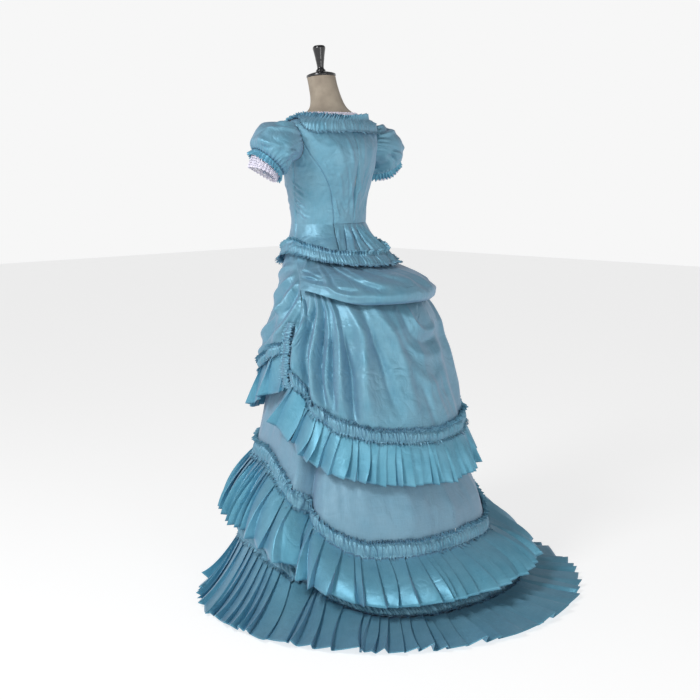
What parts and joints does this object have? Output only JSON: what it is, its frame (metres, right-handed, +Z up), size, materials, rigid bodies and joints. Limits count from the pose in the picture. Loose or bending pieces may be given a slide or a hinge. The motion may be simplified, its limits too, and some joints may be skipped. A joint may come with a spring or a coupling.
{
  "type": "bustle dress on a limbless dress form",
  "caption": "Floor-length bustle dress in shot taffeta with puffed sleeves, a draped overskirt and pleated ruffles, on a limbless dress form with a stand.",
  "frame": {"origin": "centre of the underside of the dress form's round foot, on the floor", "axes": "+Z up along the stand's pole, -Y the way the wearer faces, +Y towards the train, +X the wearer's left"},
  "size_m": [1.2693, 1.1534, 1.6936],
  "materials": {
    "taffeta": "satin",
    "lace": "matte",
    "calico": "matte",
    "ebonised_wood": "gloss",
    "black_iron": "satin"
  },
  "bodies": {
    "root": {"apron_band": "taffeta", "apron_ruffle": "taffeta", "basque_back": "taffeta", "bodice_back_left": "taffeta", "bodice_back_right": "taffeta", "bodice_front": "taffeta", "bodice_side_back_left": "taffeta", "bodice_side_back_right": "taffeta", "bodice_side_front_left": "taffeta", "bodice_side_front_right": "taffeta", "cuff_frill_left": "taffeta", "cuff_frill_right": "taffeta", "cuff_lace_left": "lace", "cuff_lace_right": "lace", "drape_band": "taffeta", "drape_ruffle": "taffeta", "form_cap": "ebonised_wood", "form_finial": "ebonised_wood", "form_foot": "black_iron", "form_pole": "black_iron", "form_torso": "calico", "hem_band": "taffeta", "hem_ruffle": "taffeta", "neckline_frill": "taffeta", "neckline_lace": "lace", "overskirt_apron": "taffeta", "overskirt_drape": "taffeta", "overskirt_puff": "taffeta", "peplum_frill": "taffeta", "sleeve_left": "taffeta", "sleeve_right": "taffeta", "tier_band": "taffeta", "tier_ruffle": "taffeta", "underskirt_back_left": "taffeta", "underskirt_back_right": "taffeta", "underskirt_front": "taffeta", "underskirt_side_left": "taffeta", "underskirt_side_right": "taffeta"}
  },
  "joints": []
}
